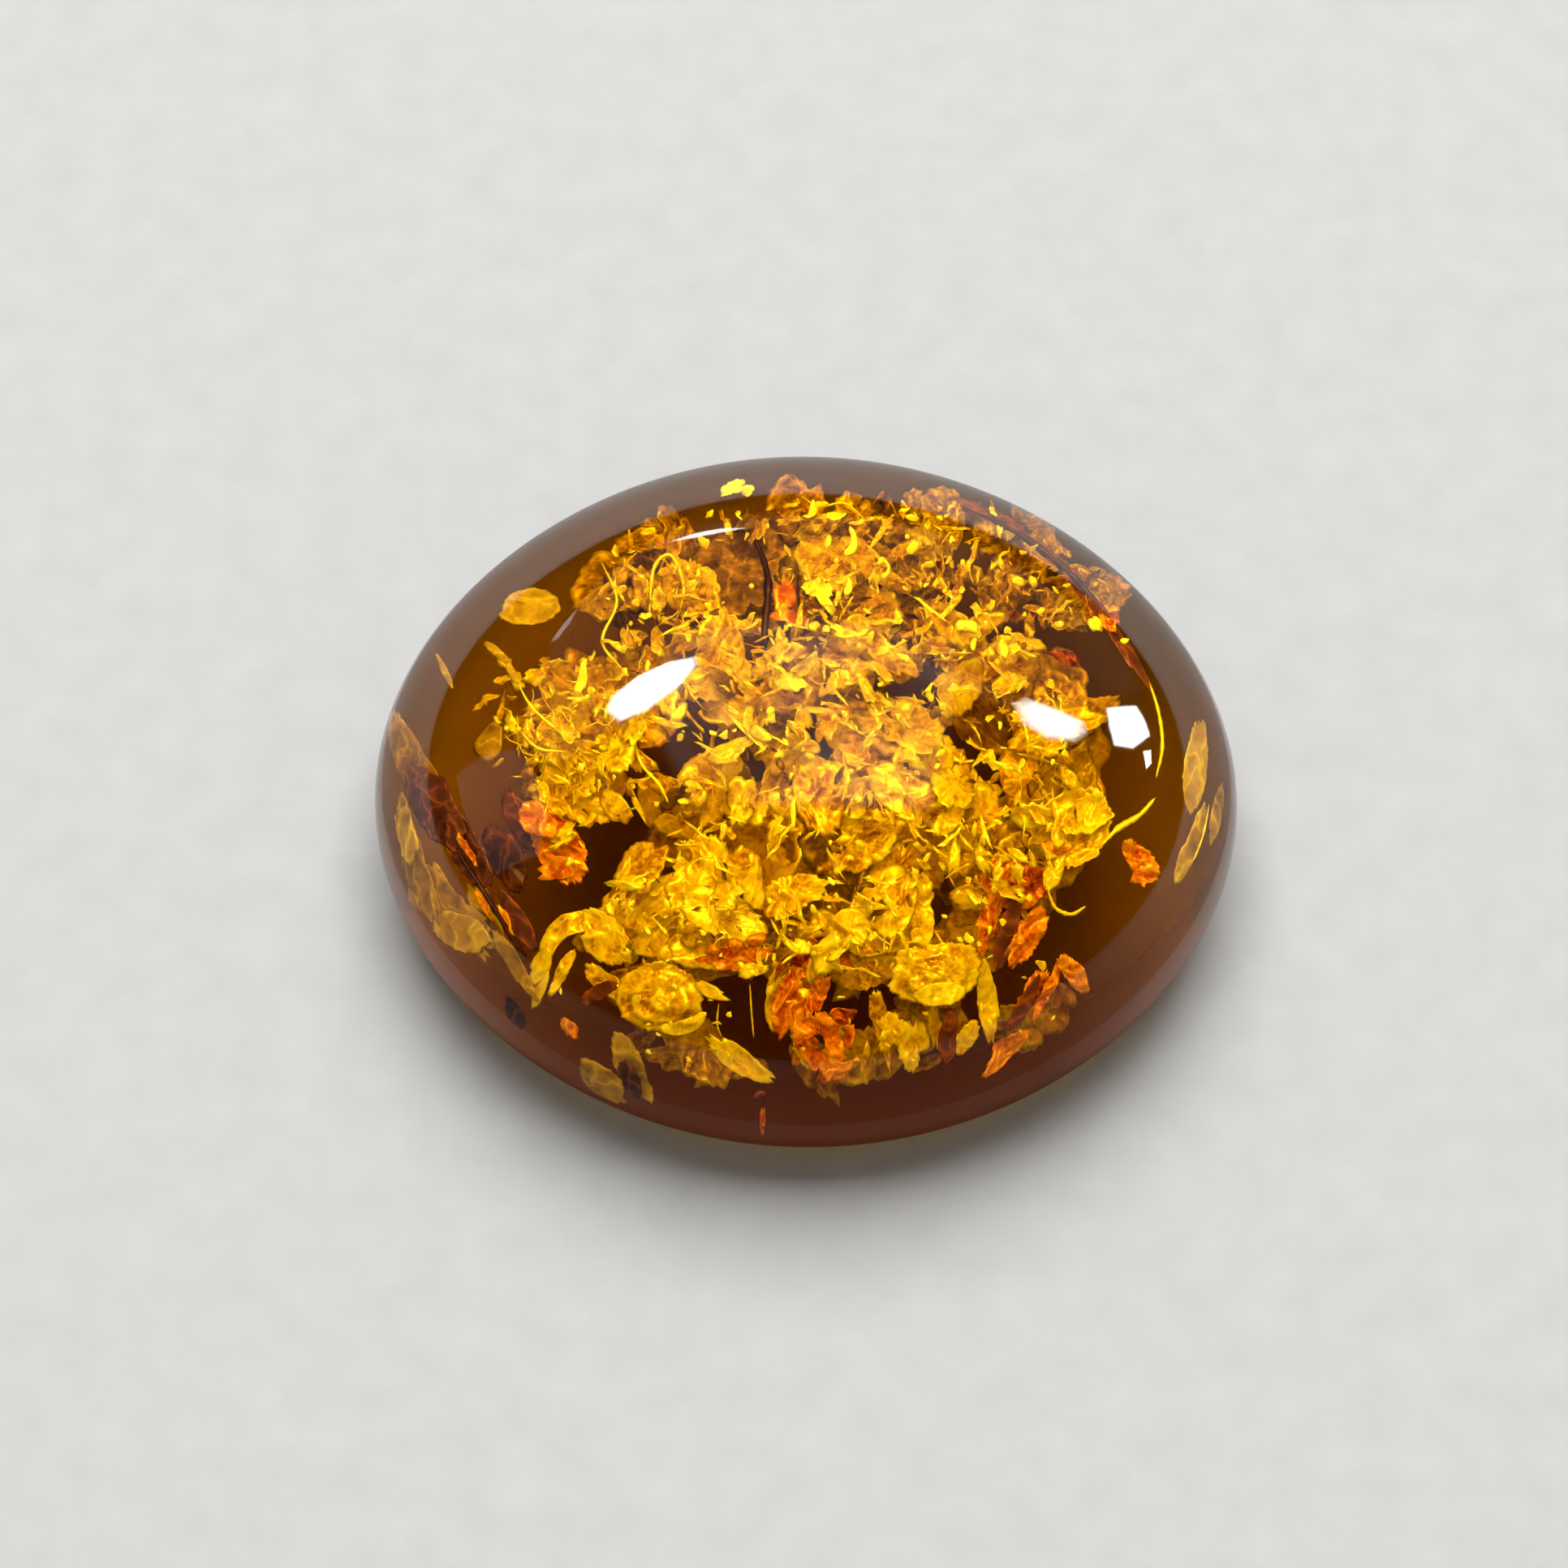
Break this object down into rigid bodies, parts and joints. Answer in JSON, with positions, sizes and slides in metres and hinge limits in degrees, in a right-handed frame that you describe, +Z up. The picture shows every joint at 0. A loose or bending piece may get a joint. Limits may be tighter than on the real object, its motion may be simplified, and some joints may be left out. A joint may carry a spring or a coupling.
{
  "type": "amber gemstone, oval cabochon",
  "caption": "Oval amber cabochon: a polished dome over a rounded girdle and a flat back, in see-through resin crowded with gold sun spangles.",
  "frame": {"origin": "middle of the flat back, on the surface that the stone rests on", "axes": "+X along the stone's length, +Y across its width, +Z up through the top of the dome"},
  "size_m": [0.02, 0.0174, 0.0083],
  "materials": {
    "amber": "polished",
    "spangle": "crumpled, like gold foil"
  },
  "bodies": {
    "root": {"amber_cabochon": "amber", "amber_back": "amber", "sun_spangles": "spangle"}
  },
  "joints": []
}
